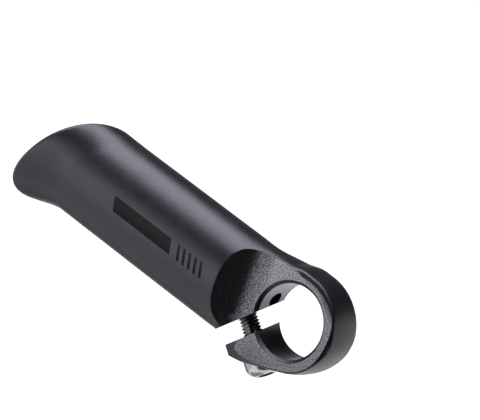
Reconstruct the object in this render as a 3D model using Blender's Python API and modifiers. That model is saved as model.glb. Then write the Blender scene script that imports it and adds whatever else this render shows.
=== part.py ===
"""Right-hand bicycle bar end: a forged horn with a split clamp ring, closed by one socket screw.

Frame: the origin is the centre of the clamp bore. +X points outboard along the handlebar,
+Y runs along the horn to its tip, and +Z is up. All sizes are in metres.
"""
from math import asin, atan, cos, pi, radians, sin, sqrt, tan

import bmesh
import bpy
from mathutils import Euler, Matrix, Vector

MM = 0.001

# Clamp ring
BORE_DIAMETER = 22.2 * MM          # end of a mountain bike handlebar
BORE_CHAMFER = 0.95 * MM
CLAMP_WIDTH = 14.0 * MM            # between the two machined faces
RING_WALL = 4.6 * MM               # below the bore
RING_TOP_WALL = 4.15 * MM          # above it
RING_BACK_WALL = 3.85 * MM         # behind the bore, away from the horn
RING_FORGED_INBOARD = 7.8 * MM     # half-width of the forging before it is faced
RING_FORGED_OUTBOARD = 7.6 * MM
RING_SQUARENESS = 6.0              # exponent of the band's section, 2 is an ellipse
RING_BACK_SQUARENESS = 12.0        # the same, where the band rounds off behind the bore
SPOT_FACE_RIM = 1.65 * MM          # flat ring left round the outboard chamfer

# Horn
HORN_REACH = 90.5 * MM             # bore centre to the tip, along the bore's axis level
HORN_WIDTH = 25.0 * MM             # along X
HORN_HEIGHT = 30.35 * MM           # along Z, at the neck
HORN_GROWTH = 0.5 * MM             # added below by the time it reaches the tip
HORN_INSET = 2.7 * MM              # its centre lies inboard of the bore's middle
HORN_DROP = 1.275 * MM             # and below the bore's axis
HORN_SQUARENESS = 2.15
TIP_RAKE = radians(22.8)           # the end is longer at the bottom
TIP_SWEEP = radians(26.6)          # and longer inboard
TIP_TURN_START = 45.0 * MM         # where the sections begin to lean toward the end's plane
TIP_LIP = 3.8 * MM                 # flare under the fingers
TIP_INBOARD_LIP = 2.8 * MM
TIP_TOP_LIP = 0.6 * MM
TIP_FLARE_LENGTH = 10.7 * MM       # before the tip's edge
TIP_FLARE_PAST = 3.5 * MM          # the flare is still growing when it meets the end
TIP_ROUND = 2.2 * MM

# Neck between the ring and the horn
NECK_START = 2.0 * MM
NECK_TOP_START = 4.0 * MM          # where its section begins to round off above
NECK_TOP_END = 20.5 * MM
NECK_SIDE_END = 24.0 * MM
NECK_BLEND = 1.2 * MM              # rounds the crease where the ring meets the horn's back

# Relief milled into the inboard side, from the ring's face into the horn
RELIEF_START = 12.0 * MM
RELIEF_RADIUS = 11.5 * MM
RELIEF_LEAN = radians(8.8)

# Slot and lower jaw
SLOT_ANGLE = radians(53.0)         # below the horn's axis
SLOT_SKEW = radians(10.2)          # the saw cut rises toward the outboard side
SLOT_WIDTH = 5.37 * MM
SLOT_OFFSET = 4.86 * MM            # middle of the gap, from the bore's axis toward the horn
JAW_END_LEAN = radians(8.0)        # the end slopes back toward the gap
JAW_SLOPE = radians(21.35)         # of the jaw's lower side
JAW_END_THICKNESS = 3.3 * MM       # before its lower corner is bevelled
JAW_ROOT = 14.0 * MM               # along Y, where the forging turns up into the horn
HORN_ROOT = 20.0 * MM

# Clamp screw, M6 x 20, and its holes
SCREW_DIAMETER = 6.0 * MM
SCREW_LENGTH = 20.0 * MM
WALL_INSIDE_SCREW = 2.6 * MM       # between the bore and the screw
WALL_BEYOND_SCREW = 3.4 * MM       # between the screw and the jaw's end
SCREW_TIP_CHAMFER = 0.7 * MM
HEAD_DIAMETER = 10.0 * MM
HEAD_HEIGHT = 6.0 * MM
HEAD_ROUND = 2.6 * MM
SOCKET_WIDTH = 5.0 * MM            # across flats
SOCKET_DEPTH = 3.0 * MM
SEAT_DEPTH = 4.6 * MM              # below the bore's axis, along the screw
HEAD_CLEARANCE = 0.35 * MM         # all round the head in its pocket
THREAD_RELIEF_DIAMETER = 8.4 * MM  # countersunk mouth of the tapped hole
THREAD_RELIEF_DEPTH = 1.8 * MM
HOLE_BEYOND_SCREW = 1.0 * MM
FIT_GAP = 0.3 * MM                 # between faces that touch on the real part

# Vent drilled from the bore into the horn
VENT_DIAMETER = 5.1 * MM
VENT_DEPTH = 5.4 * MM
VENT_OFFSET = 0.8 * MM             # outboard of the bore's middle

# Facets
SECTION_POINTS = 48
RING_STATIONS = 14
NECK_STATIONS = 16
HORN_STATIONS = 10
FLARE_STATIONS = 8
ROUND_STATIONS = 5
ROUND_STEPS = 72
SCREW_STEPS = 40
RING_END_HEIGHT = 0.4 * MM         # half-height of the loft's first section
FAR = 60.0 * MM                    # past every surface of the part

# Sizes that follow from the ones above
BORE_RADIUS = BORE_DIAMETER / 2
RING_RADIUS = BORE_RADIUS + RING_WALL
RING_TOP = BORE_RADIUS + RING_TOP_WALL
RING_BACK = BORE_RADIUS + RING_BACK_WALL
HALF_CLAMP = CLAMP_WIDTH / 2
RIM_RADIUS = BORE_RADIUS + BORE_CHAMFER
SPOT_FACE_RADIUS = RIM_RADIUS + SPOT_FACE_RIM
TIP_START = HORN_REACH - TIP_ROUND
SCREW_DISTANCE = BORE_RADIUS + WALL_INSIDE_SCREW + SCREW_DIAMETER / 2
JAW_LENGTH = SCREW_DISTANCE + SCREW_DIAMETER / 2 + WALL_BEYOND_SCREW
JAW_DIRECTION = Vector((0, cos(SLOT_ANGLE), -sin(SLOT_ANGLE)))
SCREW_DIRECTION = Vector((0, sin(SLOT_ANGLE), cos(SLOT_ANGLE)))
SLOT_TOP = SLOT_OFFSET + SLOT_WIDTH / 2 / cos(SLOT_SKEW)
SLOT_BOTTOM = SLOT_OFFSET - SLOT_WIDTH / 2 / cos(SLOT_SKEW)
HOLE_DIAMETER = SCREW_DIAMETER + 2 * FIT_GAP


def clear_scene():
    for obj in list(bpy.data.objects):
        bpy.data.objects.remove(obj, do_unlink=True)


def new_collection(name):
    collection = bpy.data.collections.new(name)
    bpy.context.scene.collection.children.link(collection)
    return collection


def new_object(name, mesh, collection):
    obj = bpy.data.objects.new(name, mesh)
    collection.objects.link(obj)
    return obj


def metal(name, colour, roughness, metallic):
    material = bpy.data.materials.new(name)
    material.use_nodes = True
    shader = material.node_tree.nodes["Principled BSDF"]
    shader.inputs["Base Color"].default_value = (*colour, 1.0)
    shader.inputs["Roughness"].default_value = roughness
    shader.inputs["Metallic"].default_value = metallic
    return material


def mix(a, b, share):
    return a + (b - a) * share


def ramp(value, start, end):
    """Smooth step from 0 at start to 1 at end."""
    share = min(max((value - start) / (end - start), 0.0), 1.0)
    return share * share * (3 - 2 * share)


def soft_max(a, b, blend):
    """The greater of two heights, with the crease between them filled."""
    overlap = max(blend - abs(a - b), 0.0) / blend
    return max(a, b) + blend * overlap ** 2 / 4


def ring_edge(y, height):
    """Height of the ring's outline at y, where height is its height over the bore's axis."""
    reach = RING_BACK if y < 0 else height
    return height * sqrt(max(1 - (y / reach) ** 2, 0.0))


def flare(y):
    """Share of the tip's lips reached at y."""
    return ramp(y, TIP_START - TIP_FLARE_LENGTH, TIP_START + TIP_FLARE_PAST)


def upper_edge(y):
    """Top of the forging: the ring, then the horn's straight back."""
    ring = ring_edge(y, RING_TOP)
    if y <= 0:
        return ring
    horn_top = HORN_HEIGHT / 2 - HORN_DROP + TIP_TOP_LIP * flare(y)
    return soft_max(ring, horn_top, NECK_BLEND)


def lower_edge(y):
    """Bottom of the forging: the ring, a straight jaw tangent to it, then the horn."""
    touch = atan(tan(JAW_SLOPE) * RING_BACK / RING_RADIUS)
    touch_y = -RING_BACK * sin(touch)
    if y <= touch_y:
        return -ring_edge(y, RING_RADIUS)
    jaw = -RING_RADIUS * cos(touch) - (y - touch_y) * tan(JAW_SLOPE)
    growth = HORN_GROWTH * max(y - HORN_ROOT, 0) / (HORN_REACH - HORN_ROOT)
    horn = -HORN_HEIGHT / 2 - HORN_DROP - growth - TIP_LIP * flare(y)
    return mix(jaw, horn, ramp(y, JAW_ROOT, HORN_ROOT))


def section(y, inset):
    """Closed outline of the forging at y, drawn in by inset. Toward the tip it leans to the end's plane."""
    inboard = -mix(RING_FORGED_INBOARD, HORN_WIDTH / 2 + HORN_INSET, ramp(y, NECK_START, NECK_SIDE_END))
    inboard -= TIP_INBOARD_LIP * flare(y)
    outboard = mix(RING_FORGED_OUTBOARD, HORN_WIDTH / 2 - HORN_INSET, ramp(y, JAW_ROOT, NECK_SIDE_END))
    if y < 0:
        edge = (1 - (-y / RING_BACK) ** RING_BACK_SQUARENESS) ** (1 / RING_BACK_SQUARENESS)
        inboard, outboard = inboard * edge, outboard * edge
    top, bottom = upper_edge(y), lower_edge(y)
    centre_x, centre_z = (inboard + outboard) / 2, (top + bottom) / 2
    half_x, half_z = (outboard - inboard) / 2 - inset, (top - bottom) / 2 - inset
    power_up = mix(RING_SQUARENESS, HORN_SQUARENESS, ramp(y, NECK_TOP_START, NECK_TOP_END))
    power_down = mix(RING_SQUARENESS, HORN_SQUARENESS, ramp(y, JAW_ROOT, HORN_ROOT))
    lean = ramp(y, TIP_TURN_START, TIP_START)
    points = []
    for i in range(SECTION_POINTS):
        angle = 2 * pi * i / SECTION_POINTS
        power = power_up if sin(angle) >= 0 else power_down
        reach = (abs(cos(angle)) ** power + abs(sin(angle)) ** power) ** (-1 / power)
        x = centre_x + half_x * reach * cos(angle)
        z = centre_z + half_z * reach * sin(angle)
        points.append((x, y - lean * (z * tan(TIP_RAKE) + x * tan(TIP_SWEEP)), z))
    return points


def stations():
    """Places along Y, each with its inset, from the ring's far side to the tip."""
    first = asin(RING_END_HEIGHT / RING_RADIUS)
    places = []
    for i in range(RING_STATIONS):
        angle = mix(first, pi / 2, (i / RING_STATIONS) ** 1.3)
        places.append((-RING_BACK * cos(angle), 0.0))
    for i in range(NECK_STATIONS):
        places.append((NECK_SIDE_END * i / NECK_STATIONS, 0.0))
    flare_start = TIP_START - TIP_FLARE_LENGTH
    for i in range(HORN_STATIONS):
        places.append((mix(NECK_SIDE_END, flare_start, i / HORN_STATIONS), 0.0))
    for i in range(FLARE_STATIONS):
        places.append((mix(flare_start, TIP_START, i / FLARE_STATIONS), 0.0))
    for i in range(ROUND_STATIONS + 1):
        angle = pi / 2 * i / ROUND_STATIONS
        places.append((TIP_START + TIP_ROUND * sin(angle), TIP_ROUND * (1 - cos(angle))))
    return places


def forging(collection):
    """The forged blank, lofted through its sections."""
    bm = bmesh.new()
    loops = [[bm.verts.new(point) for point in section(y, inset)] for y, inset in stations()]
    for near, far in zip(loops, loops[1:]):
        for i in range(SECTION_POINTS):
            j = (i + 1) % SECTION_POINTS
            bm.faces.new((near[i], near[j], far[j], far[i]))
    bm.faces.new(loops[0])
    bm.faces.new(loops[-1])
    bmesh.ops.recalc_face_normals(bm, faces=bm.faces)
    mesh = bpy.data.meshes.new("bar_end_body")
    bm.to_mesh(mesh)
    bm.free()
    return new_object("bar_end_body", mesh, collection)


def turned(name, outline, steps, collection):
    """Solid of revolution round local Z. The outline lists (radius, z) from top to bottom."""
    mesh = bpy.data.meshes.new(name)
    points = [(radius, 0, z) for radius, z in outline]
    mesh.from_pydata(points, [(i, i + 1) for i in range(len(points) - 1)], [])
    obj = new_object(name, mesh, collection)
    screw = obj.modifiers.new("turn", "SCREW")
    screw.axis = "Z"
    screw.steps = steps
    screw.render_steps = steps
    screw.use_merge_vertices = True
    screw.merge_threshold = 0.01 * MM
    return obj


def prism(name, outline, reach, place, collection):
    """Solid of constant outline (x, y), from -reach to +reach along local Z, moved by place."""
    bm = bmesh.new()
    face = bm.faces.new([bm.verts.new((x, y, -reach)) for x, y in outline])
    side = bmesh.ops.extrude_face_region(bm, geom=[face])
    tops = [item for item in side["geom"] if isinstance(item, bmesh.types.BMVert)]
    bmesh.ops.translate(bm, verts=tops, vec=(0, 0, 2 * reach))
    bmesh.ops.transform(bm, matrix=place, verts=bm.verts)
    bmesh.ops.recalc_face_normals(bm, faces=bm.faces)
    mesh = bpy.data.meshes.new(name)
    bm.to_mesh(mesh)
    bm.free()
    return new_object(name, mesh, collection)


def cut(target, cutter):
    cutter.hide_render = True
    cutter.display_type = "WIRE"
    boolean = target.modifiers.new(cutter.name, "BOOLEAN")
    boolean.operation = "DIFFERENCE"
    boolean.solver = "EXACT"
    boolean.object = cutter


def arc(centre_x, centre_y, radius, start, end, steps):
    points = []
    for i in range(steps + 1):
        angle = mix(start, end, i / steps)
        points.append((centre_x + radius * cos(angle), centre_y + radius * sin(angle)))
    return points


def relief_cutter(collection):
    """Faces the ring's inboard side and runs out into the horn as a quarter cylinder."""
    outline = [(-FAR, -FAR), (-HALF_CLAMP, -FAR)]
    outline += arc(-HALF_CLAMP - RELIEF_RADIUS, RELIEF_START, RELIEF_RADIUS, 0, pi / 2, 12)
    outline += [(-FAR, RELIEF_START + RELIEF_RADIUS)]
    lean = Matrix.Rotation(-RELIEF_LEAN, 4, "X")
    return prism("inboard_relief", outline, FAR, lean, collection)


def bore_cutter(collection):
    """Bore, both chamfers and the spot face on the outboard side."""
    straight = HALF_CLAMP - BORE_CHAMFER
    outline = [
        (0, FAR),
        (SPOT_FACE_RADIUS, FAR),
        (SPOT_FACE_RADIUS, HALF_CLAMP),
        (RIM_RADIUS, HALF_CLAMP),
        (BORE_RADIUS, straight),
        (BORE_RADIUS, -straight),
        (RIM_RADIUS + BORE_CHAMFER, -HALF_CLAMP - BORE_CHAMFER),
        (0, -HALF_CLAMP - BORE_CHAMFER),
    ]
    cutter = turned("clamp_bore", outline, ROUND_STEPS, collection)
    cutter.rotation_euler = Euler((0, pi / 2, 0))
    return cutter


def slot_cutter(collection):
    """The gap, and the space past the jaw's end. Local x runs along the jaw, y along the screw."""
    bevel_top = SLOT_BOTTOM - JAW_END_THICKNESS
    outline = [
        (BORE_RADIUS / 2, SLOT_BOTTOM),
        (JAW_LENGTH - JAW_END_THICKNESS * tan(JAW_END_LEAN), SLOT_BOTTOM),
        (JAW_LENGTH, bevel_top),
        (JAW_LENGTH - FAR / 2, bevel_top - FAR / 2),
        (FAR, bevel_top - FAR / 2),
        (FAR, SLOT_TOP),
        (BORE_RADIUS / 2, SLOT_TOP),
    ]
    axes = Matrix((
        (0, 0, 1, 0),
        (JAW_DIRECTION.y, SCREW_DIRECTION.y, 0, 0),
        (JAW_DIRECTION.z, SCREW_DIRECTION.z, 0, 0),
        (0, 0, 0, 1),
    ))
    skew = Matrix.Identity(4)
    skew[1][2] = tan(SLOT_SKEW)
    return prism("clamp_slot", outline, FAR / 2, axes @ skew, collection)


def screw_place(depth):
    """Matrix that puts local Z on the screw's axis, with its origin at depth along it."""
    origin = JAW_DIRECTION * SCREW_DISTANCE + SCREW_DIRECTION * depth
    return Matrix.Translation(origin) @ Matrix.Rotation(-SLOT_ANGLE, 4, "X")


def screw_hole_cutter(collection):
    """Head pocket, clearance hole, and the tapped hole with its wide mouth."""
    pocket = HEAD_DIAMETER / 2 + HEAD_CLEARANCE
    hole = HOLE_DIAMETER / 2
    end = SCREW_LENGTH + HOLE_BEYOND_SCREW
    mouth = SEAT_DEPTH + SLOT_TOP + THREAD_RELIEF_DEPTH
    mouth_start = SEAT_DEPTH + SLOT_OFFSET
    outline = [
        (0, end),
        (hole, end),
        (hole, mouth),
        (THREAD_RELIEF_DIAMETER / 2, mouth),
        (THREAD_RELIEF_DIAMETER / 2, mouth_start),
        (hole, mouth_start),
        (hole, 0),
        (pocket, 0),
        (pocket, -FAR / 2),
        (0, -FAR / 2),
    ]
    cutter = turned("screw_hole", outline, SCREW_STEPS, collection)
    cutter.matrix_world = screw_place(-SEAT_DEPTH)
    return cutter


def vent_cutter(collection):
    """Blind hole along the horn's axis."""
    end = BORE_RADIUS + VENT_DEPTH
    radius = VENT_DIAMETER / 2
    outline = [(0, end), (radius, end), (radius, BORE_RADIUS / 2), (0, BORE_RADIUS / 2)]
    cutter = turned("vent_hole", outline, SCREW_STEPS, collection)
    cutter.rotation_euler = Euler((-pi / 2, 0, 0))
    cutter.location = (VENT_OFFSET, 0, 0)
    return cutter


def bar_end_body(collection, cutters):
    body = forging(collection)
    for cutter in (relief_cutter, bore_cutter, slot_cutter, screw_hole_cutter, vent_cutter):
        cut(body, cutter(cutters))
    body.data.materials.append(metal("black_anodised_aluminium", (0.022, 0.022, 0.026), 0.45, 1.0))
    return body


def clamp_screw(collection, cutters):
    """Socket screw. Its origin is on its axis, under the head."""
    head = HEAD_DIAMETER / 2
    shank = SCREW_DIAMETER / 2
    outline = [
        (0, SCREW_LENGTH),
        (shank - SCREW_TIP_CHAMFER, SCREW_LENGTH),
        (shank, SCREW_LENGTH - SCREW_TIP_CHAMFER),
        (shank, 0),
        (head, 0),
    ]
    outline += arc(head - HEAD_ROUND, HEAD_ROUND - HEAD_HEIGHT, HEAD_ROUND, 0, -pi / 2, 8)
    outline += [(0, -HEAD_HEIGHT)]
    screw = turned("clamp_screw", outline, SCREW_STEPS, collection)
    screw.matrix_world = screw_place(-SEAT_DEPTH - FIT_GAP)

    corner = SOCKET_WIDTH / 2 / cos(pi / 6)
    hexagon = [(corner * cos(pi / 3 * i), corner * sin(pi / 3 * i)) for i in range(6)]
    socket = prism("hex_socket", hexagon, SOCKET_DEPTH, Matrix.Identity(4), cutters)
    socket.matrix_world = screw_place(-SEAT_DEPTH - FIT_GAP - HEAD_HEIGHT)
    cut(screw, socket)
    screw.data.materials.append(metal("stainless_steel", (0.62, 0.60, 0.57), 0.28, 1.0))
    return screw


def build():
    clear_scene()
    parts = new_collection("bicycle_bar_end")
    cutters = new_collection("cutters")
    bar_end_body(parts, cutters)
    clamp_screw(parts, cutters)
    for obj in parts.objects:
        obj.data.shade_smooth()
        obj.data.set_sharp_from_angle(angle=radians(35))


build()
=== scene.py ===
"""Right-hand bicycle bar end: a forged and machined black anodised horn, and its clamp screw.

Frame: origin at the centre of the clamp bore, +X outboard along the handlebar, +Y along the horn
to its tip, +Z up. Metres throughout.
"""

from math import atan, cos, pi, radians, sin, sqrt, tan

import bmesh
import bpy
from mathutils import Matrix, Vector


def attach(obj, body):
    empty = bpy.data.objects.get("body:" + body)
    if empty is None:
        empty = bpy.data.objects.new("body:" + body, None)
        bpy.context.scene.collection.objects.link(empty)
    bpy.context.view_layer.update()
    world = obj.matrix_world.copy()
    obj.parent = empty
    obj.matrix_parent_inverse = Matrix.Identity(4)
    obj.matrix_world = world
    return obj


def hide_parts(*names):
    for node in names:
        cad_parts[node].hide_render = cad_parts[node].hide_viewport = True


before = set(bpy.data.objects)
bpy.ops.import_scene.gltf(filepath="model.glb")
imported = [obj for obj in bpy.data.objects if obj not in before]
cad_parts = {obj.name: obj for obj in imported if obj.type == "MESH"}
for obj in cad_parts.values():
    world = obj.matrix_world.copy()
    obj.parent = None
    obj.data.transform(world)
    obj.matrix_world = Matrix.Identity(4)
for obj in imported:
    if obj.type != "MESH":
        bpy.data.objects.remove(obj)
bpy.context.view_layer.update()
MM = 0.001


# Camera.
# A long lens, about 0.7 m from the clamp, inboard of it and above, and rolled so that the horn
# runs up and to the left. Its focal length is 2425 pixels on a picture 480 wide.
PICTURE_WIDTH = 480
FOCAL_PIXELS = 2425.5
CAMERA_PLACE = (-0.6026, -0.2934, 0.2180)
camera_right = Vector((0.539, -0.71056, 0.45231)).normalized()
camera_up = Vector((-0.007, 0.53319, 0.84596)).normalized()
camera_data = bpy.data.cameras.new("product_view")
camera_data.sensor_fit = "HORIZONTAL"
camera_data.sensor_width = 36.0
camera_data.lens = FOCAL_PIXELS / PICTURE_WIDTH * camera_data.sensor_width
camera_data.clip_start = 0.05
camera_data.clip_end = 20.0
camera = bpy.data.objects.new("product_view", camera_data)
turn = Matrix((camera_right, camera_up, camera_right.cross(camera_up))).transposed().to_4x4()
camera.matrix_world = Matrix.Translation(CAMERA_PLACE) @ turn
bpy.context.scene.collection.objects.link(camera)
bpy.context.scene.camera = camera
bpy.context.scene.view_settings.view_transform = "Standard"


# Studio floor and background.
# A white sweep, well below the part, so that the part's soft shadow falls out of the picture.
# It is plain paper: fully diffuse, and white to the eye and in the part's reflections.
def linear(hex_colour):
    """A shader socket's linear RGBA for an sRGB hex colour such as '#16161a'."""
    channels = [int(hex_colour[i:i + 2], 16) / 255 for i in (1, 3, 5)]
    return [c / 12.92 if c <= 0.04045 else ((c + 0.055) / 1.055) ** 2.4 for c in channels] + [1.0]


def add_node(tree, kind, settings=None, inputs=None):
    """Add a node, set its properties, and give its inputs values or other nodes' outputs."""
    node = tree.nodes.new(kind)
    for name, value in (settings or {}).items():
        setattr(node, name, value)
    for key, value in (inputs or {}).items():
        if isinstance(value, bpy.types.NodeSocket):
            tree.links.new(value, node.inputs[key])
        else:
            node.inputs[key].default_value = value
    return node


def maths(tree, operation, *values):
    """Output of a math node on those numbers or other nodes' outputs."""
    node = add_node(tree, "ShaderNodeMath", {"operation": operation}, dict(enumerate(values)))
    return node.outputs[0]


def new_material(name):
    """An empty node material, with its output node."""
    material = bpy.data.materials.new(name)
    material.use_nodes = True
    material.node_tree.nodes.clear()
    return material, material.node_tree, material.node_tree.nodes.new("ShaderNodeOutputMaterial")


def shows_itself(tree):
    """1 for rays from the camera, from a reflection or through glass, and 0 for scattered light."""
    path = add_node(tree, "ShaderNodeLightPath")
    seen = maths(tree, "MAXIMUM", path.outputs["Is Camera Ray"], path.outputs["Is Glossy Ray"])
    return maths(tree, "MAXIMUM", seen, path.outputs["Is Transmission Ray"])


def oblong(left, right, near, far):
    """Corners (x, y) of an oblong that lies square to the axes."""
    return (left, near), (right, near), (right, far), (left, far)


# The sweep glows white where it is seen, and scatters light as a grey paper does.
FLOOR_LEVEL = -120 * MM
FLOOR_HALF = 3.0
paper, tree, output = new_material("white_paper_sweep")
white = add_node(tree, "ShaderNodeEmission", None, {"Strength": shows_itself(tree)})
matt = add_node(tree, "ShaderNodeBsdfDiffuse", None, {"Color": linear("#8f8f91")})
both = add_node(tree, "ShaderNodeAddShader", None, {0: white.outputs[0], 1: matt.outputs[0]})
tree.links.new(both.outputs[0], output.inputs["Surface"])

floor_mesh = bpy.data.meshes.new("floor")
corners = oblong(-FLOOR_HALF, FLOOR_HALF, -FLOOR_HALF, FLOOR_HALF)
floor_mesh.from_pydata([(x, y, FLOOR_LEVEL) for x, y in corners], [], [(0, 1, 2, 3)])
floor_mesh.materials.append(paper)
floor = bpy.data.objects.new("floor", floor_mesh)
bpy.context.scene.collection.objects.link(floor)

# The white surround looks as bright as the sweep, but lights the part by an eighth of that.
world = bpy.data.worlds.new("white_surround")
bpy.context.scene.world = world
world.use_nodes = True
tree = world.node_tree
tree.nodes.clear()
output = tree.nodes.new("ShaderNodeOutputWorld")
strength = add_node(tree, "ShaderNodeMapRange", None,
                    {"Value": shows_itself(tree), "To Min": 0.12, "To Max": 1.0})
background = add_node(tree, "ShaderNodeBackground", None, {"Strength": strength.outputs["Result"]})
tree.links.new(background.outputs[0], output.inputs["Surface"])


# Flags and cards.
# The studio round the part is dark above the sweep, and cards stand and lie near the clamp. They
# are what the anodised metal reflects in its dark and light bands. The camera doesn't see them.
def stage_card(name, level, points, faces):
    """A stage object of that brightness, seen only in reflections and by bounced light."""
    board, tree, output = new_material(name + "_board")
    glow = add_node(tree, "ShaderNodeEmission", None, {"Strength": level})
    tree.links.new(glow.outputs[0], output.inputs["Surface"])
    mesh = bpy.data.meshes.new(name)
    mesh.from_pydata(points, [], faces)
    mesh.materials.append(board)
    card = bpy.data.objects.new(name, mesh)
    bpy.context.scene.collection.objects.link(card)
    card.visible_camera = False
    card.visible_shadow = False
    card.visible_transmission = False


WALL_RADIUS = 2.2
WALL_SIDES = 32
WALL_RINGS = 8
WALL_FOOT = radians(2.0)
wall_points = []
for ring in range(WALL_RINGS):
    lift = WALL_FOOT + (pi / 2 - WALL_FOOT) * ring / WALL_RINGS
    reach = WALL_RADIUS * cos(lift)
    for side in range(WALL_SIDES):
        angle = 2 * pi * side / WALL_SIDES
        wall_points.append((reach * cos(angle), reach * sin(angle), WALL_RADIUS * sin(lift)))
wall_points.append((0, 0, WALL_RADIUS))
wall_faces = []
for ring in range(WALL_RINGS - 1):
    for side in range(WALL_SIDES):
        a, b = ring * WALL_SIDES + side, ring * WALL_SIDES + (side + 1) % WALL_SIDES
        wall_faces.append((b, a, a + WALL_SIDES, b + WALL_SIDES))
last_ring = (WALL_RINGS - 1) * WALL_SIDES
wall_faces += [(last_ring + (side + 1) % WALL_SIDES, last_ring + side, len(wall_points) - 1)
               for side in range(WALL_SIDES)]
stage_card("studio_walls", 0.014, wall_points, wall_faces)

# Upright cards: brightness, the two ends of their foot (x, y), bottom and top.
for name, level, ends, bottom, top in (
        ("clamp_card", 0.055, ((-0.43, -0.115), (0.18, -0.50)), FLOOR_LEVEL, 0.16),
        ("far_card", 0.25, ((0.52, 0.06), (0.30, 0.34)), -0.01, 0.115),
        ("white_card", 0.9, ((0.34, -0.10), (0.16, -0.36)), FLOOR_LEVEL, 0.15)):
    stage_card(name, level, [(x, y, z) for x, y in ends for z in (bottom, top)], [(0, 1, 3, 2)])

# Cards on the floor: brightness, height over the sweep, and corners (x, y).
for name, level, lift, corners in (
        ("head_floor_card", 0.4, 1 * MM, oblong(-0.02, 0.08, -0.06, 0.03)),
        ("clamp_floor_card", 0.055, 2 * MM,
         ((-0.43, -0.115), (0.18, -0.50), (0.08, -0.20), (-0.12, -0.05), (-0.30, -0.06))),
        ("inboard_floor_card", 0.85, 1 * MM, oblong(-0.16, 0.0, 0.05, 0.24)),
        ("outboard_floor_card", 0.3, 1 * MM, oblong(0.0, 0.10, 0.05, 0.24))):
    points = [(x, y, FLOOR_LEVEL + lift) for x, y in corners]
    stage_card(name, level, points, [tuple(range(len(points)))])


# Lamps.
# A long softbox hangs over the horn and draws the broad highlight along its back. A small one,
# low on the inboard side, picks out the grain of the clamp's face.
def softbox(name, place, aim, width, length, power, colour):
    """A rectangular lamp at place that faces aim, its length as near to the horn's as it can be."""
    data = bpy.data.lights.new(name, "AREA")
    data.shape = "RECTANGLE"
    data.size, data.size_y = width, length
    data.energy = power
    data.color = linear(colour)[:3]
    lamp = bpy.data.objects.new(name, data)
    bpy.context.scene.collection.objects.link(lamp)
    back = (Vector(place) - Vector(aim)).normalized()
    side = Vector((0, 1, 0)).cross(back).normalized()
    axes = Matrix((side, back.cross(side), back)).transposed().to_4x4()
    lamp.matrix_world = Matrix.Translation(place) @ axes
    lamp.visible_camera = False


HORN_MIDDLE = (0.0, 0.045, 0.0)
softbox("over_softbox", (-0.09, 0.32, 0.53), HORN_MIDDLE, 0.56, 0.9, 7.8, "#fdfdff")
softbox("low_softbox", (-0.215, 0.145, -0.030), (0.0, 0.02, 0.0), 0.085, 0.085, 0.047, "#fffdfc")


# Body.
# One aluminium forging: an oval horn, a neck, and a clamp ring with a lower jaw. It is lofted
# here through its sections, from the ring's far side to the raked tip, as the die forms it.
def mix(a, b, share):
    return a + (b - a) * share


def ramp(value, start, end):
    """Smooth step from 0 at start to 1 at end."""
    share = min(max((value - start) / (end - start), 0.0), 1.0)
    return share * share * (3 - 2 * share)


BORE_RADIUS = 11.1 * MM
RING_BOTTOM = BORE_RADIUS + 4.6 * MM
RING_TOP = BORE_RADIUS + 4.4 * MM
RING_BACK = BORE_RADIUS + 4.45 * MM
RING_INBOARD, RING_OUTBOARD = 7.35 * MM, 7.6 * MM     # before the faces are machined
INBOARD_SQUARENESS, OUTBOARD_SQUARENESS = 30.0, 6.0   # exponents, where 2 is an ellipse
BACK_SQUARENESS = 14.0
DRAFT, BACK_DRAFT = tan(radians(14.0)), tan(radians(24.0))
DRAFT_WIDTH, BACK_DRAFT_WIDTH, JAW_DRAFT_WIDTH = 3.35 * MM, 1.8 * MM, 4.4 * MM
BACK_DRAFT_START, BACK_DRAFT_END = -4 * MM, -13 * MM
INBOARD_CROWN, OUTBOARD_CROWN = 0.04, 0.03            # shares of the ring's height
HORN_REACH = 90.5 * MM
HORN_TOP = 13.9 * MM
HORN_BOTTOM = -16.45 * MM
HORN_GROWTH = 0.5 * MM                                # added below by the tip
HORN_INBOARD, HORN_OUTBOARD = 15.2 * MM, 9.8 * MM
HORN_SQUARENESS = 2.15
TIP_RAKE, TIP_SWEEP = tan(radians(22.8)), tan(radians(26.6))
TIP_TURN_START = 45 * MM                              # where the sections begin to lean
TIP_LIP, TIP_INBOARD_LIP, TIP_TOP_LIP = 3.8 * MM, 2.8 * MM, 0.6 * MM
TIP_ROUND = 2.2 * MM
TIP_START = HORN_REACH - TIP_ROUND
FLARE_START, FLARE_END = TIP_START - 10.7 * MM, TIP_START + 3.5 * MM
NECK_START, NECK_END = 2 * MM, 24 * MM
NECK_TOP_START, NECK_TOP_END = 4 * MM, 20.5 * MM
NECK_INBOARD_START = 2.5 * MM
NECK_BLEND = 1.2 * MM
# Metal that fills the hollow between the ring's top and the horn's.
NECK_FILL, NECK_FILL_PEAK, NECK_FILL_END = 0.6 * MM, 5.5 * MM, 22 * MM
# The jaw's underside leaves the ring along a tangent.
JAW_SLOPE = radians(21.35)
JAW_TOUCH = atan(tan(JAW_SLOPE) * RING_BACK / RING_BOTTOM)
JAW_START = -RING_BACK * sin(JAW_TOUCH)
JAW_ROOT, HORN_ROOT = 14 * MM, 20 * MM
JAW_END = 15.5 * MM


def ring_edge(y, height):
    """Height of the ring's outline at y, where height is its height over the bore's axis."""
    reach = RING_BACK if y < 0 else height
    return height * sqrt(max(1 - (y / reach) ** 2, 0.0))


def upper_edge(y):
    ring = ring_edge(y, RING_TOP)
    if y <= 0:
        return ring
    horn_top = HORN_TOP + TIP_TOP_LIP * ramp(y, FLARE_START, FLARE_END)
    overlap = max(NECK_BLEND - abs(ring - horn_top), 0) / NECK_BLEND
    return max(ring, horn_top) + NECK_BLEND * overlap ** 2 / 4


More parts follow.
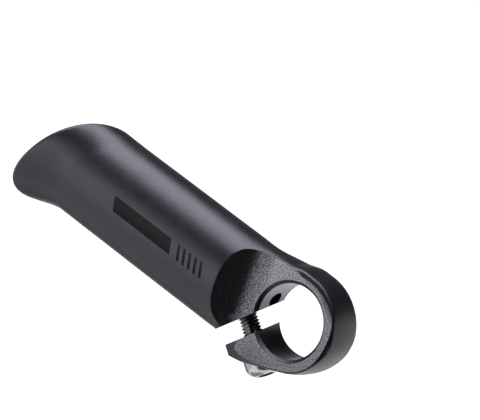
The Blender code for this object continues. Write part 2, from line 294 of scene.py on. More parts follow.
def lower_edge(y):
    if y <= JAW_START:
        return -ring_edge(y, RING_BOTTOM)
    jaw = -RING_BOTTOM * cos(JAW_TOUCH) - (y - JAW_START) * tan(JAW_SLOPE)
    growth = HORN_GROWTH * max(y - HORN_ROOT, 0) / (HORN_REACH - HORN_ROOT)
    horn = HORN_BOTTOM - growth - TIP_LIP * ramp(y, FLARE_START, FLARE_END)
    return mix(jaw, horn, ramp(y, JAW_ROOT, HORN_ROOT))


def depth(y, z):
    """How far (y, z) lies inside the forging's outline, as seen along the bore."""
    if y < (0 if z > 0 else JAW_START):
        reach = RING_TOP if z > 0 else RING_BOTTOM
        return RING_BACK * (1 - sqrt((y / RING_BACK) ** 2 + (z / reach) ** 2))
    return min(upper_edge(y) - z, (z - lower_edge(y)) * cos(JAW_SLOPE))


def draft_strip(y, z):
    """Width and slope of the strip that the die's draft leaves along the inboard edge.

    It is narrow and steep behind the bore, wider in front, and widest under the jaw.
    """
    if z > 0:
        back = ramp(-y, -BACK_DRAFT_START, -BACK_DRAFT_END)
    else:
        back = 1 - ramp(y, 0, BORE_RADIUS)
    under_jaw = ramp(y, 0, JAW_END) * ramp(-z, 0, BORE_RADIUS)
    front_width = mix(DRAFT_WIDTH, JAW_DRAFT_WIDTH, under_jaw)
    return mix(front_width, BACK_DRAFT_WIDTH, back), mix(DRAFT, BACK_DRAFT, back)


def section(y, inset, count):
    """Closed outline of the forging at y, drawn in by inset. It leans to the end's plane."""
    inboard = -mix(RING_INBOARD, HORN_INBOARD, ramp(y, NECK_START, NECK_END))
    # The jaw's side stays as thin as the ring while the neck above it swells.
    thinner = (-RING_INBOARD - inboard) * (1 - ramp(y, JAW_END, HORN_ROOT))
    inboard -= TIP_INBOARD_LIP * ramp(y, FLARE_START, FLARE_END)
    outboard = mix(RING_OUTBOARD, HORN_OUTBOARD, ramp(y, JAW_ROOT, NECK_END))
    edge = (1 - (max(-y, 0) / RING_BACK) ** BACK_SQUARENESS) ** (1 / BACK_SQUARENESS)
    inboard, outboard = inboard * edge, outboard * edge
    filled = NECK_FILL * ramp(y, 0, NECK_FILL_PEAK) * (1 - ramp(y, NECK_FILL_PEAK, NECK_FILL_END))
    top, bottom = upper_edge(y) + filled, lower_edge(y)
    middle_x, middle_z = (inboard + outboard) / 2, (top + bottom) / 2
    half_x, half_z = (outboard - inboard) / 2 - inset, (top - bottom) / 2 - inset
    horn_above = ramp(y, NECK_TOP_START, NECK_TOP_END)
    horn_below = ramp(y, JAW_ROOT, HORN_ROOT)
    horn_inboard = ramp(y, NECK_INBOARD_START, NECK_TOP_END)
    lean = ramp(y, TIP_TURN_START, TIP_START)
    points = []
    for i in range(count):
        angle = 2 * pi * i / count
        angle += CORNER_CROWDING * sin(4 * angle) / 4
        horn_share = (horn_below if sin(angle) < 0 else
                      horn_above if cos(angle) >= 0 else horn_inboard)
        ring_squareness = OUTBOARD_SQUARENESS if cos(angle) >= 0 else INBOARD_SQUARENESS
        power = 1 / mix(1 / ring_squareness, 1 / HORN_SQUARENESS, horn_share)
        reach = (abs(cos(angle)) ** power + abs(sin(angle)) ** power) ** (-1 / power)
        # The ring's band is a barrel: it is lower toward both faces than at its middle.
        crown = OUTBOARD_CROWN if cos(angle) >= 0 else INBOARD_CROWN
        crown *= (1 - horn_share) * (edge * reach * cos(angle)) ** 2
        z = middle_z + half_z * reach * sin(angle) * (1 - crown)
        round_y = y * (1 - crown) if y < 0 else y
        side = half_x
        if cos(angle) < 0:
            width, draft = draft_strip(y, z)
            side -= draft * max(width - depth(round_y, z), 0) * (1 - horn_share)
            side -= thinner * ramp(-z, 0, BORE_RADIUS)
        x = middle_x + side * reach * cos(angle)
        points.append((x, round_y - lean * (z * TIP_RAKE + x * TIP_SWEEP), z))
    return points


SECTION_POINTS = 256
CORNER_CROWDING = 0.75                 # draws the section's points toward its four corners
RING_STATIONS, NECK_STATIONS, HORN_STATIONS, FLARE_STATIONS, ROUND_STATIONS = 56, 56, 40, 28, 12
CAP_ANGLE, CAP_CROWDING = 0.004, 1.3   # the first station's angle, and how close the next lie
stations = []
for i in range(RING_STATIONS):
    angle = mix(CAP_ANGLE, pi / 2, (i / RING_STATIONS) ** CAP_CROWDING)
    stations.append((-RING_BACK * cos(angle), 0.0))
for start, end, count in ((0.0, NECK_END, NECK_STATIONS), (NECK_END, FLARE_START, HORN_STATIONS),
                          (FLARE_START, TIP_START, FLARE_STATIONS)):
    stations += [(mix(start, end, i / count), 0.0) for i in range(count)]
for i in range(ROUND_STATIONS + 1):
    angle = pi / 2 * i / ROUND_STATIONS
    stations.append((TIP_START + TIP_ROUND * sin(angle), TIP_ROUND * (1 - cos(angle))))

blank = bmesh.new()
loops = [[blank.verts.new(point) for point in section(y, inset, SECTION_POINTS)]
         for y, inset in stations]
for near, far in zip(loops, loops[1:]):
    for i in range(SECTION_POINTS):
        j = (i + 1) % SECTION_POINTS
        blank.faces.new((near[i], near[j], far[j], far[i]))
blank.faces.new(loops[0])
blank.faces.new(loops[-1])
bmesh.ops.recalc_face_normals(blank, faces=blank.faces)
body_mesh = bpy.data.meshes.new("bar_end")
blank.to_mesh(body_mesh)
blank.free()
body = bpy.data.objects.new("bar_end", body_mesh)
bpy.context.scene.collection.objects.link(body)


# Finish of the forging: aluminium, bead blasted and then dyed black in the anodising bath.
# Glass beads leave dimples about 0.1 mm across. They are drawn 0.36 mm across here, so that the
# highlight shows their grain. The dyed film is dark and clear, so it shines like a dielectric.
def relief_normal(tree, height, depth, edge_break):
    """Normal output for a surface of that relief, on edges broken to that radius."""
    edge = add_node(tree, "ShaderNodeBevel", {"samples": 4}, {"Radius": edge_break})
    bump = add_node(tree, "ShaderNodeBump", None,
                    {"Height": height, "Distance": depth, "Strength": 1.0,
                     "Normal": edge.outputs[0]})
    return bump.outputs[0]


def grain_normal(tree, coordinates, size, depth):
    """Normal output for a blasted grain of that size and depth."""
    dimples = add_node(tree, "ShaderNodeTexNoise", None,
                       {"Vector": coordinates, "Scale": 1 / size, "Detail": 2.0, "Roughness": 0.6})
    return relief_normal(tree, dimples.outputs["Fac"], depth, EDGE_BREAK)


EDGE_BREAK = 0.2 * MM
BLASTED_GRAIN, BLASTED_DEPTH = 0.36 * MM, 0.055 * MM
FILM_CLOUD = 6 * MM
blasted, tree, output = new_material("bead_blasted_black_anodised_aluminium")
place = add_node(tree, "ShaderNodeTexCoord")
cloudy = add_node(tree, "ShaderNodeTexNoise", None,
                  {"Vector": place.outputs["Object"], "Scale": 1 / FILM_CLOUD, "Detail": 3.0})
film = add_node(tree, "ShaderNodeMapRange", None,
                {"Value": cloudy.outputs["Fac"], "From Min": 0.3, "From Max": 0.7,
                 "To Min": 0.36, "To Max": 0.41})
normal = grain_normal(tree, place.outputs["Object"], BLASTED_GRAIN, BLASTED_DEPTH)
shell = add_node(tree, "ShaderNodeBsdfPrincipled", None,
                 {"Base Color": linear("#17171c"), "Roughness": film.outputs["Result"],
                  "Metallic": 0.0, "IOR": 1.6, "Specular Tint": linear("#eeedff"),
                  "Normal": normal})
tree.links.new(shell.outputs[0], output.inputs["Surface"])

# The same metal where a cutter has been: the film lies on bare tool marks, so it is greyer,
# and coarse specks of it catch the light. The specks are drawn coarser than the real ones.
SPECK_SIZE = 0.35 * MM
MACHINED_GRAIN, MACHINED_DEPTH = 0.32 * MM, 0.05 * MM
machined, tree, output = new_material("machined_black_anodised_aluminium")
place = add_node(tree, "ShaderNodeTexCoord")
specks = add_node(tree, "ShaderNodeTexNoise", None,
                  {"Vector": place.outputs["Object"], "Scale": 1 / SPECK_SIZE, "Detail": 2.0})
share = add_node(tree, "ShaderNodeMapRange", None,
                 {"Value": specks.outputs["Fac"], "From Min": 0.35, "From Max": 0.65})
tone = add_node(tree, "ShaderNodeMix", {"data_type": "RGBA"},
                {"Factor": share.outputs["Result"], "A": linear("#39383d"),
                 "B": linear("#828087")})
normal = grain_normal(tree, place.outputs["Object"], MACHINED_GRAIN, MACHINED_DEPTH)
shell = add_node(tree, "ShaderNodeBsdfPrincipled", None,
                 {"Base Color": tone.outputs["Result"], "Roughness": 0.2, "Metallic": 1.0,
                  "Normal": normal})
tree.links.new(shell.outputs[0], output.inputs["Surface"])

# The bore is reamed, which leaves fine rings round it under the film. They give its wall a
# softer sheen than the machined face has.
REAMED_PITCH, REAMED_DRIFT = 0.35 * MM, 25 * MM  # from ring to ring, and along one
REAMED_DEPTH = 0.01 * MM
reamed, tree, output = new_material("reamed_black_anodised_aluminium")
place = add_node(tree, "ShaderNodeTexCoord")
along = add_node(tree, "ShaderNodeMapping", None,
                 {"Vector": place.outputs["Object"],
                  "Scale": (1 / REAMED_PITCH, 1 / REAMED_DRIFT, 1 / REAMED_DRIFT)})
rings = add_node(tree, "ShaderNodeTexNoise", None,
                 {"Vector": along.outputs[0], "Scale": 1.0, "Detail": 2.0})
normal = relief_normal(tree, rings.outputs["Fac"], REAMED_DEPTH, EDGE_BREAK)
shell = add_node(tree, "ShaderNodeBsdfPrincipled", None,
                 {"Base Color": linear("#6a6b72"), "Roughness": 0.34, "Metallic": 1.0,
                  "Normal": normal})
tree.links.new(shell.outputs[0], output.inputs["Surface"])
body_mesh.materials.append(blasted)


# Machining of the body.
# The inboard relief is milled first, then the bore and its chamfers, the narrow outboard rim,
# the skewed saw cut, the stepped hole for the screw, and the vent into the horn.
HALF_CLAMP = 7 * MM
CHAMFER = 0.95 * MM
RIM_RADIUS = BORE_RADIUS + CHAMFER
SPOT_FACE_RADIUS = RIM_RADIUS + 1.65 * MM
REAMER_STOCK = 0.6 * MM
RELIEF_START, RELIEF_RADIUS, RELIEF_STRETCH = 10.5 * MM, 11.5 * MM, 1.13
RELIEF_LEAN = radians(8.8)
SLOT_ANGLE, SLOT_SKEW = radians(53.0), radians(10.2)
SLOT_WIDTH, SLOT_OFFSET = 5.37 * MM, 4.86 * MM
SLOT_TOP = SLOT_OFFSET + SLOT_WIDTH / 2 / cos(SLOT_SKEW)
SLOT_BOTTOM = SLOT_OFFSET - SLOT_WIDTH / 2 / cos(SLOT_SKEW)
JAW_LENGTH = 23.1 * MM
JAW_END_THICKNESS, JAW_END_LEAN = 3.3 * MM, radians(8.0)
SCREW_DISTANCE = 16.7 * MM             # from the bore's axis to the screw's
SEAT_DEPTH = 4.6 * MM
HOLE_RADIUS, POCKET_RADIUS, MOUTH_RADIUS = 3.3 * MM, 5.6 * MM, 4.2 * MM
MOUTH_DEPTH = 1.8 * MM
HOLE_LENGTH = 21 * MM
VENT_RADIUS, VENT_DEPTH, VENT_OFFSET = 2.55 * MM, 5.4 * MM, 0.8 * MM
BORE_STEPS, HOLE_STEPS, RELIEF_STEPS = 240, 96, 40
FAR = 60 * MM                          # where the cutters end, outside the part
AXIS_WELD = 0.002 * MM                 # points on an axis closer than this are one
MESH_WELD = 0.001 * MM                 # the same, in a finished mesh
along_jaw = Vector((0, cos(SLOT_ANGLE), -sin(SLOT_ANGLE)))
along_screw = Vector((0, sin(SLOT_ANGLE), cos(SLOT_ANGLE)))


def turned(name, outline, steps):
    """Solid of revolution round local Z. The outline lists (radius, z) from end to end."""
    mesh = bpy.data.meshes.new(name)
    edges = [(i, i + 1) for i in range(len(outline) - 1)]
    mesh.from_pydata([(radius, 0, z) for radius, z in outline], edges, [])
    obj = bpy.data.objects.new(name, mesh)
    bpy.context.scene.collection.objects.link(obj)
    screw = obj.modifiers.new("turn", "SCREW")
    screw.steps = screw.render_steps = steps
    screw.use_merge_vertices = True
    screw.merge_threshold = AXIS_WELD
    return obj


def prism(name, outline, reach, place):
    """Solid of constant outline (x, y), from -reach to +reach along local Z, moved by place."""
    bm = bmesh.new()
    face = bm.faces.new([bm.verts.new((x, y, -reach)) for x, y in outline])
    side = bmesh.ops.extrude_face_region(bm, geom=[face])
    tops = [item for item in side["geom"] if isinstance(item, bmesh.types.BMVert)]
    bmesh.ops.translate(bm, verts=tops, vec=(0, 0, 2 * reach))
    bmesh.ops.transform(bm, matrix=place, verts=bm.verts)
    bmesh.ops.recalc_face_normals(bm, faces=bm.faces)
    mesh = bpy.data.meshes.new(name)
    bm.to_mesh(mesh)
    bm.free()
    obj = bpy.data.objects.new(name, mesh)
    bpy.context.scene.collection.objects.link(obj)
    return obj


def arc(middle_x, middle_y, radius, start, end, steps):
    angles = [mix(start, end, i / steps) for i in range(steps + 1)]
    return [(middle_x + radius * cos(angle), middle_y + radius * sin(angle)) for angle in angles]


def screw_place(depth):
    """Matrix that puts local Z on the screw's axis, with its origin at depth along it."""
    start = Matrix.Translation(along_jaw * SCREW_DISTANCE + along_screw * depth)
    return start @ Matrix.Rotation(-SLOT_ANGLE, 4, "X")


# The relief's wall is an arc stretched toward the tip.
relief_outline = [(-FAR, -FAR), (-HALF_CLAMP, -FAR)]
relief_outline += [(x, RELIEF_START + RELIEF_STRETCH * y)
                   for x, y in arc(-HALF_CLAMP - RELIEF_RADIUS, 0, RELIEF_RADIUS, 0, pi / 2,
                                   RELIEF_STEPS)]
relief_outline += [(-FAR, RELIEF_START + RELIEF_STRETCH * RELIEF_RADIUS)]
relief = prism("relief_cut", relief_outline, FAR, Matrix.Rotation(-RELIEF_LEAN, 4, "X"))

# One tool cuts both chamfers, before the blasting, and leaves stock in the bore for the reamer.
straight = HALF_CLAMP - CHAMFER
core_radius = BORE_RADIUS - REAMER_STOCK
across = Matrix.Rotation(pi / 2, 4, "Y")
rims = turned("rims_cut", [(0, HALF_CLAMP + CHAMFER), (RIM_RADIUS + CHAMFER, HALF_CLAMP + CHAMFER),
                           (core_radius, straight - REAMER_STOCK),
                           (core_radius, REAMER_STOCK - straight),
                           (RIM_RADIUS + CHAMFER, -HALF_CLAMP - CHAMFER),
                           (0, -HALF_CLAMP - CHAMFER)], BORE_STEPS)
rims.matrix_world = across
bore = turned("bore_cut", [(0, FAR), (BORE_RADIUS, FAR), (BORE_RADIUS, -FAR), (0, -FAR)],
              BORE_STEPS)
bore.matrix_world = across
spot_face = turned("spot_face_cut", [(0, FAR), (SPOT_FACE_RADIUS, FAR),
                                     (SPOT_FACE_RADIUS, HALF_CLAMP), (0, HALF_CLAMP)], BORE_STEPS)
spot_face.matrix_world = across

# The saw cut's outline also takes off all that lies past the jaw's bevelled end.
bevel_top = SLOT_BOTTOM - JAW_END_THICKNESS
slot_outline = [(BORE_RADIUS / 2, SLOT_BOTTOM),
                (JAW_LENGTH - JAW_END_THICKNESS * tan(JAW_END_LEAN), SLOT_BOTTOM),
                (JAW_LENGTH, bevel_top), (JAW_LENGTH - FAR / 2, bevel_top - FAR / 2),
                (FAR, bevel_top - FAR / 2), (FAR, SLOT_TOP), (BORE_RADIUS / 2, SLOT_TOP)]
slot_axes = Matrix(((0, 0, 1, 0), (along_jaw.y, along_screw.y, 0, 0),
                    (along_jaw.z, along_screw.z, 0, 0), (0, 0, 0, 1)))
slot_skew = Matrix.Identity(4)
slot_skew[1][2] = tan(SLOT_SKEW)
slot = prism("slot_cut", slot_outline, FAR / 2, slot_axes @ slot_skew)

mouth = SEAT_DEPTH + SLOT_TOP + MOUTH_DEPTH
screw_hole = turned("screw_hole_cut", [(0, HOLE_LENGTH), (HOLE_RADIUS, HOLE_LENGTH),
                                       (HOLE_RADIUS, mouth), (MOUTH_RADIUS, mouth),
                                       (MOUTH_RADIUS, SEAT_DEPTH + SLOT_OFFSET),
                                       (HOLE_RADIUS, SEAT_DEPTH + SLOT_OFFSET), (HOLE_RADIUS, 0),
                                       (POCKET_RADIUS, 0), (POCKET_RADIUS, -FAR / 2),
                                       (0, -FAR / 2)], HOLE_STEPS)
screw_hole.matrix_world = screw_place(-SEAT_DEPTH)
vent_end = BORE_RADIUS + VENT_DEPTH
vent = turned("vent_cut", [(0, vent_end), (VENT_RADIUS, vent_end), (VENT_RADIUS, BORE_RADIUS / 2),
                           (0, BORE_RADIUS / 2)], HOLE_STEPS)
vent.matrix_world = Matrix.Translation((VENT_OFFSET, 0, 0)) @ Matrix.Rotation(-pi / 2, 4, "X")

def subtract(obj, cutter):
    """Cut cutter out of obj."""
    cut = obj.modifiers.new(cutter.name, "BOOLEAN")
    cut.operation = "DIFFERENCE"
    cut.solver = "EXACT"
    cut.object = cutter
    return cut


for cutter, finish in (
        (relief, machined), (rims, blasted), (bore, reamed), (spot_face, machined),
        (slot, machined), (screw_hole, reamed), (vent, reamed)):
    cutter.data.materials.append(finish)
    subtract(body, cutter).material_mode = "TRANSFER"


def plain_mesh(obj, name, sharp_angle, leftovers=()):
    """Apply obj's modifiers, merge its mesh and mark the edges sharper than the angle."""
    finished = bpy.data.meshes.new_from_object(
        obj.evaluated_get(bpy.context.evaluated_depsgraph_get()))
    finished.name = name
    obj.modifiers.clear()
    obj.data = finished
    for leftover in leftovers:
        bpy.data.objects.remove(leftover, do_unlink=True)
    bm = bmesh.new()
    bm.from_mesh(finished)
    bmesh.ops.remove_doubles(bm, verts=bm.verts, dist=MESH_WELD)
    bmesh.ops.dissolve_degenerate(bm, edges=bm.edges, dist=MESH_WELD)
    bm.to_mesh(finished)
    bm.free()
    finished.shade_smooth()
    finished.set_sharp_from_angle(angle=sharp_angle)


plain_mesh(body, "bar_end", radians(25), (relief, rims, bore, spot_face, slot, screw_hole, vent))
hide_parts("bar_end_body")
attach(body, "bar_end")


# Printed marks.
# A plain bar and five ticks, screen-printed in gloss black on the horn's inboard side and slanted
# alike. The print is a film some hundredths of a millimetre thick that follows the horn's curve.
MARK_LEVEL, MARK_HEIGHT = -1.0 * MM, 4.4 * MM
BAR_START, BAR_LENGTH = 42 * MM, 24 * MM
TICK_START, TICK_PITCH, TICK_WIDTH, TICK_COUNT = 29.5 * MM, 2.3 * MM, 1.0 * MM, 5
MARK_SLANT = 0.4
FILM_PROUD, FILM_BURIED = 0.03 * MM, 0.05 * MM
BAR_COLUMNS, TICK_COLUMNS, MARK_ROWS = 61, 4, 13
STENCIL = 1.0 * MM                       # thickness of the flat marks before they are laid on
RAY_START, RAY_LENGTH = -30 * MM, 100 * MM

# The ink is smooth, and a deeper black than the blasted film round it.
printed, tree, output = new_material("gloss_black_screen_print")
place = add_node(tree, "ShaderNodeTexCoord")
uneven = add_node(tree, "ShaderNodeTexNoise", None,
                  {"Vector": place.outputs["Object"], "Scale": 1 / (0.5 * MM), "Detail": 2.0})
sheen = add_node(tree, "ShaderNodeMapRange", None,
                 {"Value": uneven.outputs["Fac"], "To Min": 0.2, "To Max": 0.34})
shell = add_node(tree, "ShaderNodeBsdfPrincipled", None,
                 {"Base Color": linear("#030304"), "Roughness": sheen.outputs["Result"], "IOR": 1.3,
                  "Specular IOR Level": 0.25})
tree.links.new(shell.outputs[0], output.inputs["Surface"])


def geometry_tree(name, sizes):
    """A geometry node tree, its named inputs' sockets, and their values by identifier."""
    tree = bpy.data.node_groups.new(name, "GeometryNodeTree")
    values = {}
    for label, kind, value in sizes:
        socket = tree.interface.new_socket(label, in_out="INPUT", socket_type="NodeSocket" + kind)
        values[socket.identifier] = value
    tree.interface.new_socket("Geometry", in_out="OUTPUT", socket_type="NodeSocketGeometry")
    return tree, add_node(tree, "NodeGroupInput").outputs, values


def end_tree(tree, geometry, material):
    """Close a geometry node tree: realize its instances and set its material."""
    realized = add_node(tree, "GeometryNodeRealizeInstances", None, {"Geometry": geometry})
    finished = add_node(tree, "GeometryNodeSetMaterial", None,
                        {"Geometry": realized.outputs[0], "Material": material})
    add_node(tree, "NodeGroupOutput", None, {"Geometry": finished.outputs[0]})


def grown(name, tree, values):
    """A new object whose mesh the tree makes from those values."""
    obj = bpy.data.objects.new(name, bpy.data.meshes.new(name))
    bpy.context.scene.collection.objects.link(obj)
    nodes = obj.modifiers.new(tree.name, "NODES")
    nodes.node_group = tree
    for identifier, value in values.items():
        nodes[identifier] = value
    return obj


def flat_mark(tree, width, height, columns):
    """A thin box, cut finely enough to follow the horn's curve."""
    size = add_node(tree, "ShaderNodeCombineXYZ", None, {"X": STENCIL, "Y": width, "Z": height})
    box = add_node(tree, "GeometryNodeMeshCube", None,
                   {"Size": size.outputs[0], "Vertices X": 2, "Vertices Y": columns,
                    "Vertices Z": MARK_ROWS})
    return box.outputs["Mesh"]


tree, asked, mark_values = geometry_tree("printed_marks", (
    ("Horn", "Object", body), ("Level", "Float", MARK_LEVEL), ("Height", "Float", MARK_HEIGHT),
    ("Slant", "Float", MARK_SLANT), ("Bar Start", "Float", BAR_START),
    ("Bar Length", "Float", BAR_LENGTH), ("Tick Start", "Float", TICK_START),
    ("Tick Pitch", "Float", TICK_PITCH), ("Tick Width", "Float", TICK_WIDTH),
    ("Tick Count", "Int", TICK_COUNT), ("Film Proud", "Float", FILM_PROUD),
    ("Film Buried", "Float", FILM_BURIED)))
bar_middle = maths(tree, "MULTIPLY_ADD", asked["Bar Length"], 0.5, asked["Bar Start"])
bar_place = add_node(tree, "ShaderNodeCombineXYZ", None, {"Y": bar_middle, "Z": asked["Level"]})
bar = add_node(tree, "GeometryNodeTransform", None,
               {"Geometry": flat_mark(tree, asked["Bar Length"], asked["Height"], BAR_COLUMNS),
                "Translation": bar_place.outputs[0]})
first = add_node(tree, "ShaderNodeCombineXYZ", None,
                 {"Y": asked["Tick Start"], "Z": asked["Level"]})
step = add_node(tree, "ShaderNodeCombineXYZ", None, {"Y": asked["Tick Pitch"]})
row = add_node(tree, "GeometryNodeMeshLine", None,
               {"Count": asked["Tick Count"], "Start Location": first.outputs[0],
                "Offset": step.outputs[0]})
ticks = add_node(tree, "GeometryNodeInstanceOnPoints", None,
                 {"Points": row.outputs["Mesh"],
                  "Instance": flat_mark(tree, asked["Tick Width"], asked["Height"], TICK_COLUMNS)})
both = add_node(tree, "GeometryNodeJoinGeometry", None, {"Geometry": bar.outputs[0]})
tree.links.new(ticks.outputs[0], both.inputs["Geometry"])
flat = add_node(tree, "GeometryNodeRealizeInstances", None, {"Geometry": both.outputs[0]})

# Each point is slanted, thrown at the horn along the bore, and set just over or under its skin.
position = add_node(tree, "GeometryNodeInputPosition")
parts = add_node(tree, "ShaderNodeSeparateXYZ", None, {0: position.outputs[0]}).outputs
slanted_y = maths(tree, "MULTIPLY_ADD", parts["Z"], asked["Slant"], parts["Y"])
start = add_node(tree, "ShaderNodeCombineXYZ", None,
                 {"X": RAY_START, "Y": slanted_y, "Z": parts["Z"]})
horn = add_node(tree, "GeometryNodeObjectInfo", {"transform_space": "ORIGINAL"},
                {"Object": asked["Horn"]})
shot = add_node(tree, "GeometryNodeRaycast", None,
                {"Target Geometry": horn.outputs["Geometry"], "Source Position": start.outputs[0],
                 "Ray Direction": (1.0, 0.0, 0.0), "Ray Length": RAY_LENGTH})
proud = add_node(tree, "ShaderNodeMapRange", None,
                 {"Value": parts["X"], "From Min": -STENCIL / 2, "From Max": STENCIL / 2,
                  "To Min": asked["Film Proud"],
                  "To Max": maths(tree, "MULTIPLY", asked["Film Buried"], -1.0)})
lift = add_node(tree, "ShaderNodeVectorMath", {"operation": "SCALE"},
                {0: shot.outputs["Hit Normal"], "Scale": proud.outputs["Result"]})
laid = add_node(tree, "ShaderNodeVectorMath", {"operation": "ADD"},
                {0: shot.outputs["Hit Position"], 1: lift.outputs[0]})
film = add_node(tree, "GeometryNodeSetPosition", None,
                {"Geometry": flat.outputs[0], "Position": laid.outputs[0]})
end_tree(tree, film.outputs[0], printed)
marks = grown("printed_marks", tree, mark_values)
plain_mesh(marks, "printed_marks", radians(50))
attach(marks, "bar_end")


# Clamp screw.
# A stainless M6 x 20 socket screw. The head is turned with a large round edge and its hexagonal
# socket is punched. The thread is rolled on the shank.
HEAD_GAP = 0.3 * MM                    # between the head and its seat
SCREW_START = -SEAT_DEPTH - HEAD_GAP
HEAD_RADIUS, HEAD_HEIGHT, HEAD_ROUND = 5.5 * MM, 6 * MM, 3.5 * MM
HEAD_STEPS, HEAD_ROUND_STEPS = 128, 24
HEAD_EDGE_BREAK = 0.15 * MM
SOCKET_WIDTH, SOCKET_DEPTH = 5 * MM, 3 * MM
TURNED_PITCH, TURNED_DRIFT = 0.2 * MM, 25 / 3 * MM  # across the tool's marks, and along them
TURNED_DEPTH = 0.006 * MM
THREAD_PITCH = 1 * MM
THREAD_MAJOR, THREAD_MINOR = 3 * MM, 2.42 * MM
THREAD_LENGTH = 20 * MM
THREAD_SEGMENTS, THREAD_ROWS = 64, 8
ROOT_EDGE, CREST_EDGE = 0.1, 0.44      # where the flank starts and ends, as shares of the pitch
TIP_INSET = 0.1 * MM                   # the tip's flat is smaller than the root by this much
LAST_ROW = 0.49999                     # the grid's first and last rows lie at 0.5

# Bright metal, with fine turning marks round its axis that roughen its highlights a little.
stainless, tree, output = new_material("turned_stainless_steel")
place = add_node(tree, "ShaderNodeTexCoord")
spun = add_node(tree, "ShaderNodeMapping", {"vector_type": "TEXTURE"},
                {"Vector": place.outputs["Object"], "Rotation": (-SLOT_ANGLE, 0, 0)})
fine = add_node(tree, "ShaderNodeMapping", None,
                {"Vector": spun.outputs[0],
                 "Scale": (1 / TURNED_DRIFT, 1 / TURNED_DRIFT, 1 / TURNED_PITCH)})
scratches = add_node(tree, "ShaderNodeTexNoise", None,
                     {"Vector": fine.outputs[0], "Scale": 1.0, "Detail": 2.0})
polish = add_node(tree, "ShaderNodeMapRange", None,
                  {"Value": scratches.outputs["Fac"], "To Min": 0.16, "To Max": 0.28})
normal = relief_normal(tree, scratches.outputs["Fac"], TURNED_DEPTH, HEAD_EDGE_BREAK)
shell = add_node(tree, "ShaderNodeBsdfPrincipled", None,
                 {"Base Color": linear("#b2b1b4"), "Metallic": 1.0,
                  "Roughness": polish.outputs["Result"], "Normal": normal})
tree.links.new(shell.outputs[0], output.inputs["Surface"])

# The same steel, painted darker all over the thread: painted shade and painted dark reflections of
# the slot between the black jaws that the thread sits in.
shaded_thread_steel, tree, output = new_material("stainless_thread_painted_shade")
shell = add_node(tree, "ShaderNodeBsdfPrincipled", None,
                 {"Base Color": linear("#929092"), "Metallic": 1.0, "Roughness": 0.2})
tree.links.new(shell.outputs[0], output.inputs["Surface"])

head_outline = [(0, 0), (HEAD_RADIUS, 0)]
head_outline += arc(HEAD_RADIUS - HEAD_ROUND, HEAD_ROUND - HEAD_HEIGHT, HEAD_ROUND, 0, -pi / 2,
                    HEAD_ROUND_STEPS)
head_outline += [(0, -HEAD_HEIGHT)]
head = turned("screw_head", head_outline, HEAD_STEPS)
corner = SOCKET_WIDTH / 2 / cos(pi / 6)
hexagon = [(corner * cos(pi / 3 * i), corner * sin(pi / 3 * i)) for i in range(6)]
socket = prism("socket_cut", hexagon, SOCKET_DEPTH, Matrix.Translation((0, 0, -HEAD_HEIGHT)))
subtract(head, socket)
plain_mesh(head, "screw_head", radians(30), (socket,))
head.data.transform(screw_place(SCREW_START))
head.data.materials.clear()
head.data.materials.append(stainless)
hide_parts("clamp_screw")
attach(head, "screw")


# Thread of the screw.
# A grid is wrapped round the shank with its rows along the helix, so that crest and root stay
# crisp. Its first and last rows close on the axis, and the tip is chamfered.
tree, asked, thread_values = geometry_tree("rolled_thread", (
    ("Pitch", "Float", THREAD_PITCH), ("Major Radius", "Float", THREAD_MAJOR),
    ("Minor Radius", "Float", THREAD_MINOR), ("Length", "Float", THREAD_LENGTH),
    ("Segments", "Int", THREAD_SEGMENTS), ("Rows a Turn", "Int", THREAD_ROWS)))
turns = maths(tree, "ADD", maths(tree, "DIVIDE", asked["Length"], asked["Pitch"]), 1.0)
columns = maths(tree, "ADD", asked["Segments"], 1.0)
rows = maths(tree, "MULTIPLY_ADD", turns, asked["Rows a Turn"], 1.0)
grid = add_node(tree, "GeometryNodeMeshGrid", None,
                {"Size X": 1.0, "Size Y": 1.0, "Vertices X": columns, "Vertices Y": rows})
position = add_node(tree, "GeometryNodeInputPosition")
flat = add_node(tree, "ShaderNodeSeparateXYZ", None, {0: position.outputs[0]}).outputs

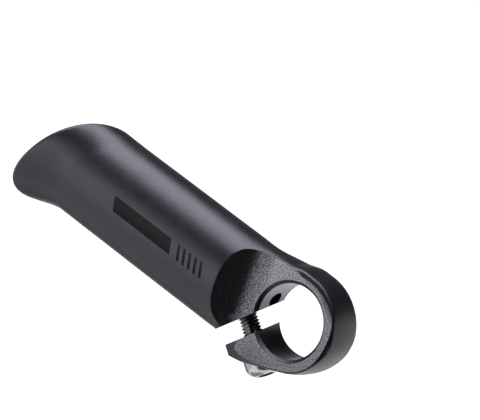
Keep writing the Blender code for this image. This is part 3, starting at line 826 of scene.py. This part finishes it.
# Across the grid a point goes once round the shank, and up the grid it climbs turn by turn.
around = maths(tree, "ADD", flat["X"], 0.5)
climb = maths(tree, "MULTIPLY_ADD", maths(tree, "ADD", flat["Y"], 0.5), turns, around)
height = maths(tree, "MULTIPLY", maths(tree, "SUBTRACT", climb, 1.0), asked["Pitch"])
height = add_node(tree, "ShaderNodeClamp", None,
                  {"Value": height, "Min": 0.0, "Max": asked["Length"]}).outputs[0]

# From the root the flanks rise to the crest, and back, within each pitch.
phase = maths(tree, "SUBTRACT", maths(tree, "DIVIDE", height, asked["Pitch"]), around)
radius = add_node(tree, "ShaderNodeMapRange", None,
                  {"Value": maths(tree, "PINGPONG", phase, 0.5),
                   "From Min": ROOT_EDGE, "From Max": CREST_EDGE,
                   "To Min": asked["Minor Radius"], "To Max": asked["Major Radius"]})

# The chamfer is a cone of 45 degrees round the tip.
left = maths(tree, "SUBTRACT", asked["Length"], height)
cone = maths(tree, "SUBTRACT", maths(tree, "ADD", left, asked["Minor Radius"]), TIP_INSET)
radius = maths(tree, "MINIMUM", radius.outputs["Result"], cone)
open_row = maths(tree, "LESS_THAN", maths(tree, "ABSOLUTE", flat["Y"]), LAST_ROW)
radius = maths(tree, "MULTIPLY", radius, open_row)

angle = maths(tree, "MULTIPLY", around, 2 * pi)
wrapped = add_node(tree, "ShaderNodeCombineXYZ", None,
                   {0: maths(tree, "MULTIPLY", radius, maths(tree, "COSINE", angle)),
                    1: maths(tree, "MULTIPLY", radius, maths(tree, "SINE", angle)), 2: height})
shaft = add_node(tree, "GeometryNodeSetPosition", None,
                 {"Geometry": grid.outputs["Mesh"], "Position": wrapped.outputs[0]})
merged = add_node(tree, "GeometryNodeMergeByDistance", None,
                  {"Geometry": shaft.outputs[0], "Distance": AXIS_WELD})
# The thread takes the steel that is darkened with painted shade.
end_tree(tree, merged.outputs[0], shaded_thread_steel)
thread = grown("screw_thread", tree, thread_values)
plain_mesh(thread, "screw_thread", radians(28))
outward = bmesh.new()
outward.from_mesh(thread.data)
bmesh.ops.recalc_face_normals(outward, faces=outward.faces)
outward.to_mesh(thread.data)
outward.free()
thread.data.transform(screw_place(SCREW_START))
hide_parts("clamp_screw")
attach(thread, "screw")
